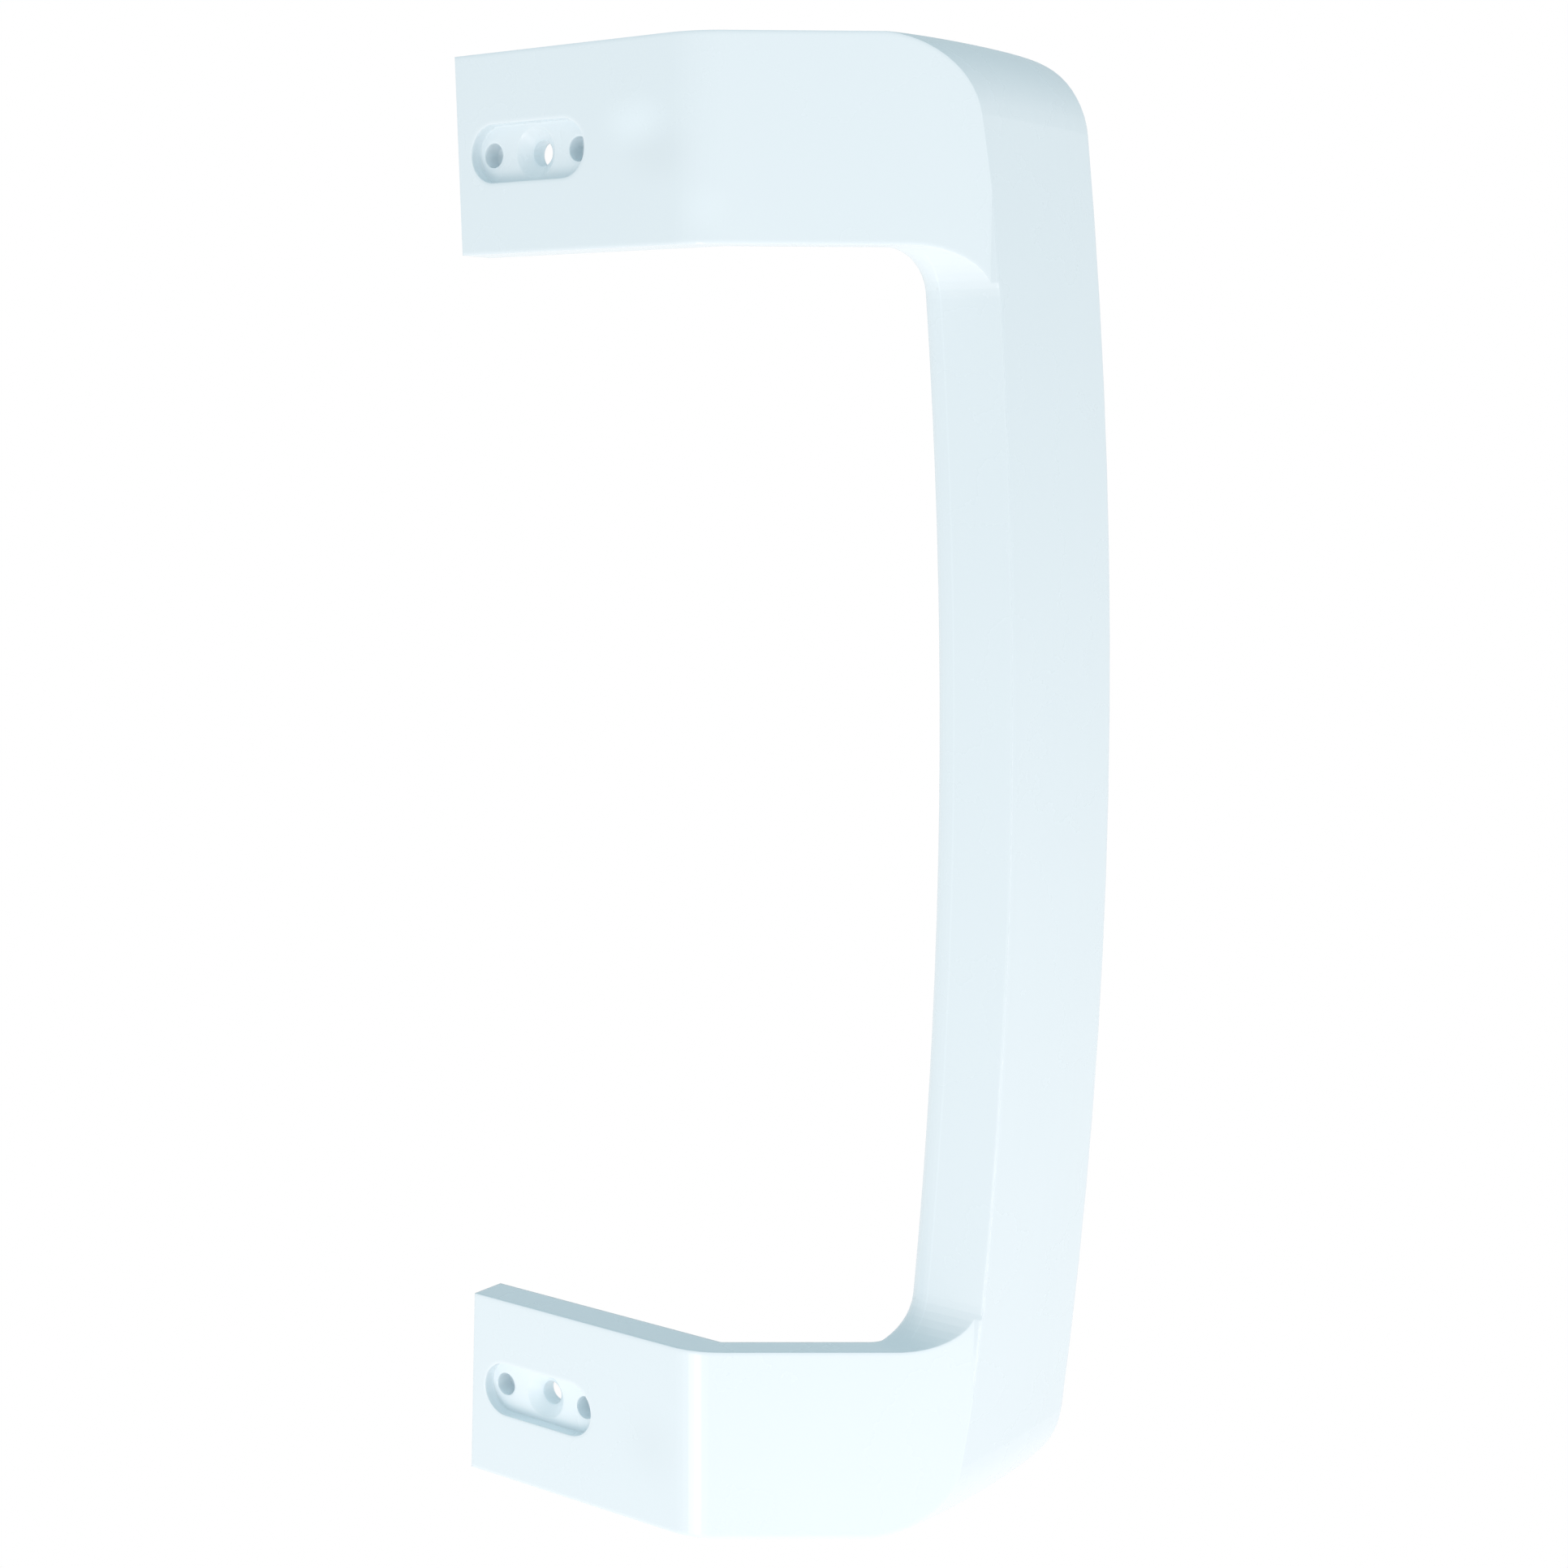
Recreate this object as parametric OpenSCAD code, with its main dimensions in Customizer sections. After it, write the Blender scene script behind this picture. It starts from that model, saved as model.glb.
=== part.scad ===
// Bow pull handle for a refrigerator door, one moulding

/* [Overall] */
// overall height, top edge of one leg to bottom edge of the other
overall_h = 310; // [290:1:330]
// height of each leg
leg_h = 41; // [38:0.5:46]
// how far the front of the legs stands from their free end
reach = 116; // [112:0.2:124]

/* [Legs] */
// length of the mounting plate up to the bend
plate_len = 63.8; // [60:0.2:68]
// thickness of the mounting plate at the screw
plate_t = 8.5; // [8:0.1:10]
// thickness of the leg between the bend and the grip
leg_t = 6.3; // [5.5:0.1:7.5]
// angle of the bend
bend_a = 37; // [33:0.5:41]
// radius of the bend on the near side
bend_r = 18; // [8:1:30]
// lean of the free end, outer corner to inner corner
end_lean = 1.6; // [0:0.2:3]

/* [Grip] */
// width of the grip across the door
grip_w = 43.6; // [38:0.2:48]
// depth of the grip, front to back
grip_t = 18.7; // [18:0.1:23]
// radius of the long bow of the grip
bow_r = 1160; // [900:10:1600]
// rise of the crowned front across its width
crown = 2.2; // [0.6:0.1:3]
// radius of the outer corners of the C
corner_r = 18; // [14:0.5:21]
// radius of the window corners seen from the front
window_r = 10; // [7:0.5:14]
// rounding of the finger side of the grip
finger_r = 6.2; // [4:0.2:8]
// rounding of the far edges of the grip
far_r = 4.5; // [3:0.5:7]

/* [Screw recess] */
// distance of the screw from the free end of the leg
screw_x = 20; // [19:0.5:24]
// length of the recess
slot_l = 31; // [29:0.5:33]
// width of the recess
slot_w = 12; // [11:0.5:14]
// depth of the recess
slot_d = 2.8; // [2.5:0.1:3.5]
// diameter of the screw hole
screw_d = 5.3; // [4.5:0.1:6]
// diameter of the countersink at the recess floor
sink_d = 10.5; // [9.5:0.1:11]
// depth of the countersink
sink_depth = 2.3; // [2:0.1:3]
// diameter of the two cover cap holes
pin_d = 5.1; // [4:0.1:5.6]
// distance of each cover cap hole from the screw
pin_pitch = 11.7; // [10.8:0.1:12.2]
// depth of the cover cap holes below the recess floor
pin_depth = 4; // [3:0.1:4.2]

/* [Hidden] */
$fn = 120;

// heights of the leg edges, the middle of a leg and the window corner
top_z = overall_h / 2;
inner_z = top_z - leg_h;
screw_z = top_z - leg_h / 2;
corner_z = inner_z - window_r;

// bow centre, and centre of the outer corner tangent to bow and leg edge
bow_x = reach - bow_r;
arc_z = top_z - corner_r;
arc_x = bow_x + sqrt(pow(bow_r - corner_r, 2) - arc_z * arc_z);
arc_a = asin(arc_z / (bow_r - corner_r));

// near side of the grip, where the sloping leg runs out at the front face
side_y = (bow_x + sqrt(bow_r * bow_r - corner_z * corner_z) - plate_len) * tan(bend_a);
far_y = side_y + grip_w;
crown_y = side_y + grip_w / 2;
crown_y0 = (arc_x - plate_len) * tan(bend_a) - 1.5;
window_y = side_y - window_r;

// back of the grip at height z
function back_x(z) = bow_x + sqrt(pow(bow_r - grip_t, 2) - z * z);

// near line of the leg seen from above
bend_x = plate_len - bend_r * tan(bend_a / 2);
bend_line = [for (k = [0:8])
    let (a = bend_a * k / 8)
    [bend_x + bend_r * sin(a), bend_r - bend_r * cos(a)]];
far_t = leg_t / cos(bend_a);

// cross-section of the grip from its sweep axis to the crowned front face
function crown_at(y) =
    let (
        t = min(1, (crown_y - y) / (crown_y - crown_y0)),
        u = (y - crown_y) / (far_y - crown_y)
    )
    crown * (y < crown_y ? 1 - t * t : 1 - 0.5 * u * u);
module front_section(r, inside) {
    near = -20;
    last = far_y - far_r;
    hub = r + crown_at(last) - far_r;
    polygon(concat(
        [[inside, near], [r, near]],
        [for (k = [0:12])
            let (y = crown_y0 + (last - crown_y0) * k / 12)
            [r + crown_at(y), y]],
        [for (k = [1:6])
            let (a = 90 * k / 6)
            [hub + far_r * cos(a), last + far_r * sin(a)]],
        [[inside, far_y]]
    ));
}

// the part of one turn of the section between two directions, seen from the side
module turned(r, inside, from, to) {
    far = 2 * r;
    mid = (from + to) / 2;
    intersection() {
        rotate([-90, 0, 0])
            rotate_extrude($fn = 720)
                front_section(r, inside);
        translate([0, 200, 0])
            rotate([90, 0, 0])
                linear_extrude(height = 400)
                    polygon([
                        [0, 0],
                        far * [cos(from), sin(from)],
                        far * [cos(mid), sin(mid)],
                        far * [cos(to), sin(to)]
                    ]);
    }
}

// everything inside the bowed face, the two outer corners and the leg edges
module outer_form() {
    translate([bow_x, 0, 0])
        turned(bow_r, bow_r - 60, -arc_a, arc_a);
    for (s = [0, 1])
        mirror([0, 0, s]) {
            translate([arc_x, 0, arc_z])
                turned(corner_r, 0, arc_a, 90);
            translate([arc_x, 0, arc_z])
                rotate([0, -90, 0])
                    linear_extrude(height = arc_x + 5)
                        front_section(corner_r, -arc_z - 0.01);
        }
}

// leg and grip seen from above: near line, and open towards the door
module top_view() {
    last_y = side_y - 0.4;
    polygon(concat(
        [[0, 0]],
        bend_line,
        [[plate_len + last_y / tan(bend_a), last_y], [reach + 30, last_y]],
        [[reach + 30, 140], [0, 140]]
    ));
}

// space on the door side of a leg, with a round corner at the grip
module behind_leg() {
    wall_x = back_x(inner_z) - 0.2;
    r = 4;
    kink_x = plate_len + (plate_t - far_t) / tan(bend_a);
    cx = wall_x - r;
    cy = (cx - plate_len) * tan(bend_a) + far_t + r / cos(bend_a);
    polygon(concat(
        [[-10, plate_t], [kink_x, plate_t]],
        [for (k = [0:8])
            let (a = bend_a - 90 + (90 - bend_a) * k / 8)
            [cx + r * cos(a), cy + r * sin(a)]],
        [[wall_x, 150], [-10, 150]]
    ));
}

// rows of the window: open to the near side and to the door, rounded finger side
steps = 9;
function corner_c(z, r) = sqrt(1 - pow(max(0, 0.998 * (abs(z) - inner_z + r) / r), 2));
function window_row(z) =
    let (b = back_x(z))
    concat(
        [[-60, -60, z], [160, -60, z], [160, window_y + window_r * corner_c(z, window_r), z]],
        [for (k = [0:steps])
            let (
                a = 90 * k / steps,
                e = finger_r * (1 - cos(a))
            )
            [b + finger_r * (1 - sin(a)), window_y + (window_r + e) * corner_c(z, window_r - e / 2), z]],
        [[b, 160, z], [-60, 160, z]]
    );
half_rows = concat(
    [for (k = [1:9]) corner_z * k / 9],
    [for (k = [1:9]) corner_z + window_r * sin(86 * k / 9) / sin(86)]
);
window_rows = concat(
    [for (k = [len(half_rows) - 1:-1:0]) window_row(-half_rows[k])],
    [window_row(0)],
    [for (z = half_rows) window_row(z)]
);

module window() {
    m = len(window_rows[0]);
    n = len(window_rows);
    sides = [for (i = [0:n - 2]) for (j = [0:m - 1])
        let (
            a = i * m + j,
            b = i * m + (j + 1) % m
        )
        each [[a, b + m, b], [a, a + m, b + m]]];
    first = [for (j = [1:m - 2]) [0, j, j + 1]];
    last = [for (j = [1:m - 2]) [0, j + 1, j] + (n - 1) * m * [1, 1, 1]];
    polyhedron(points = [for (r = window_rows) each r], faces = concat(sides, first, last), convexity = 6);
}

// slanted free ends of both legs, seen from the side
module end_cut() {
    translate([0, 150, 0])
        rotate([90, 0, 0])
            linear_extrude(height = 200)
                polygon([
                    [-10, top_z + 10],
                    [-0.4, top_z + 10],
                    [end_lean, inner_z],
                    [end_lean, -inner_z],
                    [-0.4, -top_z - 10],
                    [-10, -top_z - 10]
                ]);
}

// recess with countersunk screw hole and two cover cap holes, axis along y
module recess() {
    end_x = (slot_l - slot_w) / 2;
    rotate([-90, 0, 0]) {
        translate([0, 0, -5])
            linear_extrude(height = slot_d + 5)
                union() {
                    square([2 * end_x, slot_w], center = true);
                    translate([end_x, 0])
                        circle(d = slot_w);
                    translate([-end_x, 0])
                        circle(d = slot_w);
                }
        translate([0, 0, slot_d])
            cylinder(h = sink_depth, d1 = sink_d, d2 = screw_d);
        translate([0, 0, slot_d])
            cylinder(h = plate_t + 5, d = screw_d);
        for (s = [-1, 1])
            translate([s * pin_pitch, 0, slot_d - 1])
                cylinder(h = pin_depth + 1, d = pin_d);
    }
}

// origin midway between the two screws, on the face that meets the door
module handle() {
    color([0.93, 0.95, 0.96])
        translate([-screw_x, -plate_t, 0])
            difference() {
                intersection() {
                    outer_form();
                    translate([0, 0, -top_z])
                        linear_extrude(height = overall_h)
                            top_view();
                }
                window();
                end_cut();
                for (s = [0, 1])
                    mirror([0, 0, s])
                        translate([0, 0, inner_z - 1])
                            linear_extrude(height = leg_h + 2)
                                behind_leg();
                for (s = [-1, 1])
                    translate([screw_x, 0, s * screw_z])
                        recess();
            }
}

handle();
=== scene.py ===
import math

import bmesh
import bpy
from mathutils import Matrix, Vector

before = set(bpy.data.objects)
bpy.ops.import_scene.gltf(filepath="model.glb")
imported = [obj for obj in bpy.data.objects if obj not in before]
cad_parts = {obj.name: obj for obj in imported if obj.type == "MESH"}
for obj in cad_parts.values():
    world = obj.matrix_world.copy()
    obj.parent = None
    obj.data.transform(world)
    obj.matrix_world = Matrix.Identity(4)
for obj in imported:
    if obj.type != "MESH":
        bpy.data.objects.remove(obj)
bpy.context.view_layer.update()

# Gloss white plastic of the whole handle. The real piece is one injection
# moulding in bluish-white plastic, with a polished, slightly uneven skin and
# broken edges. One countersunk screw through each leg holds it to the door.
plastic = bpy.data.materials.new("gloss_white_plastic")
plastic.use_nodes = True
skin = plastic.node_tree
skin.nodes.clear()
out = skin.nodes.new("ShaderNodeOutputMaterial")
bsdf = skin.nodes.new("ShaderNodeBsdfPrincipled")
skin.links.new(bsdf.outputs["BSDF"], out.inputs["Surface"])
coord = skin.nodes.new("ShaderNodeTexCoord")

# tint drifts very slightly over the moulding
drift = skin.nodes.new("ShaderNodeTexNoise")
drift.inputs["Scale"].default_value = 14.0
drift.inputs["Detail"].default_value = 3.0
skin.links.new(coord.outputs["Object"], drift.inputs["Vector"])
tint = skin.nodes.new("ShaderNodeValToRGB")
tint.color_ramp.elements[0].position = 0.3
tint.color_ramp.elements[0].color = (0.796, 0.897, 0.940, 1.0)
tint.color_ramp.elements[1].position = 0.7
tint.color_ramp.elements[1].color = (0.806, 0.905, 0.948, 1.0)
skin.links.new(drift.outputs["Fac"], tint.inputs["Fac"])

# parting line on the finger side: a fine raised line that follows the bow, with
# a painted highlight along it, drawn from the distance to the bow's axis, on the near half of
# the grip only
place = skin.nodes.new("ShaderNodeSeparateXYZ")
skin.links.new(coord.outputs["Object"], place.inputs["Vector"])


def maths(operation, first, second=None, third=None):
    node = skin.nodes.new("ShaderNodeMath")
    node.operation = operation
    for socket, value in zip(node.inputs, (first, second, third)):
        if value is None:
            continue
        if isinstance(value, (int, float)):
            socket.default_value = value
        else:
            skin.links.new(value, socket)
    return node.outputs["Value"]


bow_axis_back = 1.064
line_radius = 1.14755
line_far_y = 0.0295
line_end_z = 0.1125
line_outside = 0.00034
line_core = 0.00008
# painted highlight: the parting line is drawn lighter than the skin
parting_highlight_tone = 0.025
line_height = 2.5
from_axis = maths("ADD", place.outputs["X"], bow_axis_back)
forward_squared = maths("MULTIPLY", from_axis, from_axis)
height_squared = maths("MULTIPLY", place.outputs["Z"], place.outputs["Z"])
radius = maths("SQRT", maths("ADD", forward_squared, height_squared))
offset = maths("ABSOLUTE", maths("SUBTRACT", radius, line_radius))
near_half = maths("LESS_THAN", place.outputs["Y"], line_far_y)
on_grip = maths("LESS_THAN", maths("ABSOLUTE", place.outputs["Z"]), line_end_z)
line_map = skin.nodes.new("ShaderNodeMapRange")
line_map.interpolation_type = "SMOOTHSTEP"
line_map.inputs["From Min"].default_value = line_outside
line_map.inputs["From Max"].default_value = line_core
skin.links.new(offset, line_map.inputs["Value"])
near_line = maths("MULTIPLY", line_map.outputs["Result"], near_half)
parting = maths("MULTIPLY", near_line, on_grip)

# soft tones set against the photograph (centre, half sizes, strength):
# four faint patches on the legs, the last a painted highlight near the upper
# bend, three small marks at the ends of the parting line, and painted light
# that lifts the lower recess floor, which renders too dark without it
spots = (
    ((0.0288, -0.0085, 0.1385), (0.011, 0.004, 0.007), 0.060),
    ((0.0350, -0.0085, 0.1318), (0.012, 0.004, 0.008), -0.035),
    ((0.0324, -0.0085, -0.1370), (0.011, 0.004, 0.012), -0.030),
    # painted highlight on the upper leg near the bend
    ((0.0470, -0.0080, 0.1210), (0.010, 0.005, 0.007), 0.030),
    ((0.0784, 0.0273, 0.1086), (0.0007, 0.0016, 0.0018), 0.120),
    ((0.0781, 0.0280, 0.1060), (0.0007, 0.0014, 0.0006), -0.200),
    ((0.0793, 0.0263, -0.1102), (0.0006, 0.0012, 0.0008), -0.160),
    # painted light on the lower recess floor
    ((0.0000, -0.0057, -0.1345), (0.0240, 0.0040, 0.0110), 0.100),
)
change = maths("MULTIPLY", parting, parting_highlight_tone)
for centre, half, strength in spots:
    shift = skin.nodes.new("ShaderNodeVectorMath")
    shift.operation = "SUBTRACT"
    skin.links.new(coord.outputs["Object"], shift.inputs[0])
    shift.inputs[1].default_value = centre
    scale = skin.nodes.new("ShaderNodeVectorMath")
    scale.operation = "DIVIDE"
    skin.links.new(shift.outputs["Vector"], scale.inputs[0])
    scale.inputs[1].default_value = half
    size = skin.nodes.new("ShaderNodeVectorMath")
    size.operation = "LENGTH"
    skin.links.new(scale.outputs["Vector"], size.inputs[0])
    soft = skin.nodes.new("ShaderNodeMapRange")
    soft.interpolation_type = "SMOOTHSTEP"
    soft.inputs["From Min"].default_value = 1.0
    soft.inputs["From Max"].default_value = 0.0
    skin.links.new(size.outputs["Value"], soft.inputs["Value"])
    change = maths("MULTIPLY_ADD", soft.outputs["Result"], strength, change)

# broken edges: shaded as rounded to about 1.4 mm, half the way from the flat
# face, with a painted highlight that lifts their tone, and more gloss, because
# turned normals alone render a dark line that the photograph doesn't show
edge_radius = 0.0014
edge_highlight_tone = 0.07
edge_gloss = -0.11
most_tone = 0.07
edge = skin.nodes.new("ShaderNodeBevel")
edge.samples = 8
edge.inputs["Radius"].default_value = edge_radius
surface = skin.nodes.new("ShaderNodeNewGeometry")
lean = skin.nodes.new("ShaderNodeVectorMath")
lean.operation = "DOT_PRODUCT"
skin.links.new(edge.outputs["Normal"], lean.inputs[0])
skin.links.new(surface.outputs["Normal"], lean.inputs[1])
at_edge = skin.nodes.new("ShaderNodeMapRange")
at_edge.inputs["From Min"].default_value = 0.995
at_edge.inputs["From Max"].default_value = 0.80
skin.links.new(lean.outputs["Value"], at_edge.inputs["Value"])
# painted highlight along the edges
change = maths("MULTIPLY_ADD", at_edge.outputs["Result"], edge_highlight_tone, change)
halfway = skin.nodes.new("ShaderNodeVectorMath")
halfway.operation = "ADD"
skin.links.new(edge.outputs["Normal"], halfway.inputs[0])
skin.links.new(surface.outputs["Normal"], halfway.inputs[1])
rounded = skin.nodes.new("ShaderNodeVectorMath")
rounded.operation = "NORMALIZE"
skin.links.new(halfway.outputs["Vector"], rounded.inputs[0])
shade = skin.nodes.new("ShaderNodeVectorMath")
shade.operation = "SCALE"
skin.links.new(tint.outputs["Color"], shade.inputs["Vector"])
tone = maths("ADD", maths("MINIMUM", change, most_tone), 1.0)
skin.links.new(tone, shade.inputs["Scale"])
skin.links.new(shade.outputs["Vector"], bsdf.inputs["Base Color"])

# polish varies a little over the skin
polish = skin.nodes.new("ShaderNodeTexNoise")
polish.inputs["Scale"].default_value = 35.0
polish.inputs["Detail"].default_value = 6.0
skin.links.new(coord.outputs["Object"], polish.inputs["Vector"])
gloss = skin.nodes.new("ShaderNodeMapRange")
gloss.inputs["From Min"].default_value = 0.3
gloss.inputs["From Max"].default_value = 0.7
gloss.inputs["To Min"].default_value = 0.25
gloss.inputs["To Max"].default_value = 0.29
skin.links.new(polish.outputs["Fac"], gloss.inputs["Value"])
dullness = maths("MULTIPLY_ADD", at_edge.outputs["Result"], edge_gloss, gloss.outputs["Result"])
skin.links.new(dullness, bsdf.inputs["Roughness"])
bsdf.inputs["IOR"].default_value = 1.49

# the faint waviness of a moulded surface, over the rounded edges
wave = skin.nodes.new("ShaderNodeTexNoise")
wave.inputs["Scale"].default_value = 90.0
wave.inputs["Detail"].default_value = 2.0
skin.links.new(coord.outputs["Object"], wave.inputs["Vector"])
bump = skin.nodes.new("ShaderNodeBump")
bump.inputs["Strength"].default_value = 0.04
bump.inputs["Distance"].default_value = 0.0002
relief = maths("MULTIPLY_ADD", parting, line_height, wave.outputs["Fac"])
skin.links.new(relief, bump.inputs["Height"])
skin.links.new(rounded.outputs["Vector"], bump.inputs["Normal"])
skin.links.new(bump.outputs["Normal"], bsdf.inputs["Normal"])

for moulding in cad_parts.values():
    moulding.data.materials.clear()
    moulding.data.materials.append(plastic)

# Studio light: a white surround that is brightest below, and gets bluer and
# darker above. Its tones are set to match the handle in the photograph.
# The camera itself sees plain white paper.
world = bpy.data.worlds.new("studio")
bpy.context.scene.world = world
world.use_nodes = True
air = world.node_tree
air.nodes.clear()
air_out = air.nodes.new("ShaderNodeOutputWorld")
air_coord = air.nodes.new("ShaderNodeTexCoord")
direction = air.nodes.new("ShaderNodeSeparateXYZ")
air.links.new(air_coord.outputs["Generated"], direction.inputs["Vector"])
ramp = air.nodes.new("ShaderNodeValToRGB")
up = air.nodes.new("ShaderNodeMapRange")
up.inputs["From Min"].default_value = -1.0
up.inputs["From Max"].default_value = 1.0
air.links.new(direction.outputs["Z"], up.inputs["Value"])
air.links.new(up.outputs["Result"], ramp.inputs["Fac"])
stops = ramp.color_ramp.elements
stops[0].position = 0.0
stops[0].color = (1.05, 1.03, 1.02, 1)
stops[1].position = 1.0
stops[1].color = (0.41, 0.56, 0.61, 1)
level_stop = stops.new(0.45)
level_stop.color = (0.91, 0.925, 0.93, 1)
upper_stop = stops.new(0.7)
upper_stop.color = (0.65, 0.715, 0.745, 1)
light = air.nodes.new("ShaderNodeBackground")
air.links.new(ramp.outputs["Color"], light.inputs["Color"])
light.inputs["Strength"].default_value = 0.965
paper = air.nodes.new("ShaderNodeBackground")
paper.inputs["Color"].default_value = (1, 1, 1, 1)
paper.inputs["Strength"].default_value = 1.0
ray = air.nodes.new("ShaderNodeLightPath")
mix = air.nodes.new("ShaderNodeMixShader")
air.links.new(ray.outputs["Is Camera Ray"], mix.inputs["Fac"])
air.links.new(light.outputs["Background"], mix.inputs[1])
air.links.new(paper.outputs["Background"], mix.inputs[2])
air.links.new(mix.outputs["Shader"], air_out.inputs["Surface"])

# Floor: plain white card well below the hanging handle. The camera sees it as
# white paper, and it sends light up like the lower part of the surround.
card_size = 4.0
card_z = -0.85
card_form = bmesh.new()
bmesh.ops.create_grid(card_form, x_segments=1, y_segments=1, size=card_size)
bmesh.ops.translate(card_form, verts=card_form.verts, vec=(0.0, 0.0, card_z))
card_mesh = bpy.data.meshes.new("floor_card")
card_form.to_mesh(card_mesh)
card_form.free()
card = bpy.data.objects.new("floor_card", card_mesh)
bpy.context.scene.collection.objects.link(card)
card_white = bpy.data.materials.new("white_card")
card_white.use_nodes = True
card_nodes = card_white.node_tree
card_nodes.nodes.clear()
card_out = card_nodes.nodes.new("ShaderNodeOutputMaterial")
seen = card_nodes.nodes.new("ShaderNodeEmission")
seen.inputs["Color"].default_value = (1.0, 1.0, 1.0, 1.0)
sent_up = card_nodes.nodes.new("ShaderNodeEmission")
sent_up.inputs["Color"].default_value = (0.965, 0.955, 0.95, 1.0)
card_path = card_nodes.nodes.new("ShaderNodeLightPath")
card_mix = card_nodes.nodes.new("ShaderNodeMixShader")
card_nodes.links.new(card_path.outputs["Is Camera Ray"], card_mix.inputs["Fac"])
card_nodes.links.new(sent_up.outputs["Emission"], card_mix.inputs[1])
card_nodes.links.new(seen.outputs["Emission"], card_mix.inputs[2])
card_nodes.links.new(card_mix.outputs["Shader"], card_out.inputs["Surface"])
card.data.materials.append(card_white)

# Three soft lamps: a wide one low in front lifts the lower half, an upright
# strip on the right draws the line along the near edge of the grip, and an
# upright strip in front draws the band on the lower bend.
lamp_colour = (1.0, 0.85, 0.82)
for name, stand, aim, wide, high, watts in (
    ("low_softbox", (0.34, -0.52, -0.58), (0.05, 0.0, -0.13), 0.6, 0.35, 0.50),
    ("side_strip", (0.80, 0.02, -0.34), (0.09, 0.02, -0.05), 0.07, 0.55, 1.25),
    ("front_strip", (0.05, -0.80, -0.47), (0.04, 0.0, -0.13), 0.14, 0.40, 1.5),
):
    lamp_data = bpy.data.lights.new(name, "AREA")
    lamp_data.shape = "RECTANGLE"
    lamp_data.size = wide
    lamp_data.size_y = high
    lamp_data.energy = watts
    lamp_data.color = lamp_colour
    lamp = bpy.data.objects.new(name, lamp_data)
    bpy.context.scene.collection.objects.link(lamp)
    lamp.location = stand
    beam = Vector(aim) - lamp.location
    lamp.rotation_euler = beam.to_track_quat("-Z", "Y").to_euler()

# Camera: fitted to both legs of the photographed handle. It stands to the right
# of the handle and a little above it, and looks slightly down.
heading = math.radians(36.11)
tilt = math.radians(7.721)
roll = math.radians(0.2997)
stands_at = (0.35899, -0.40935, 0.07548)
right = Vector((math.cos(heading), math.sin(heading), 0.0))
level = Vector((-math.sin(heading), math.cos(heading), 0.0))
ahead = level * math.cos(tilt) + Vector((0.0, 0.0, -math.sin(tilt)))
above = right.cross(ahead)
side = right * math.cos(roll) + above * math.sin(roll)
top = -right * math.sin(roll) + above * math.cos(roll)
lens = bpy.data.cameras.new("camera")
lens.sensor_width = 36.0
lens.lens = 58.109
lens.clip_start = 0.01
camera = bpy.data.objects.new("camera", lens)
bpy.context.scene.collection.objects.link(camera)
turn = Matrix((side, top, -ahead)).transposed().to_4x4()
camera.matrix_world = Matrix.Translation(stands_at) @ turn
bpy.context.scene.camera = camera

bpy.context.scene.view_settings.view_transform = "Standard"
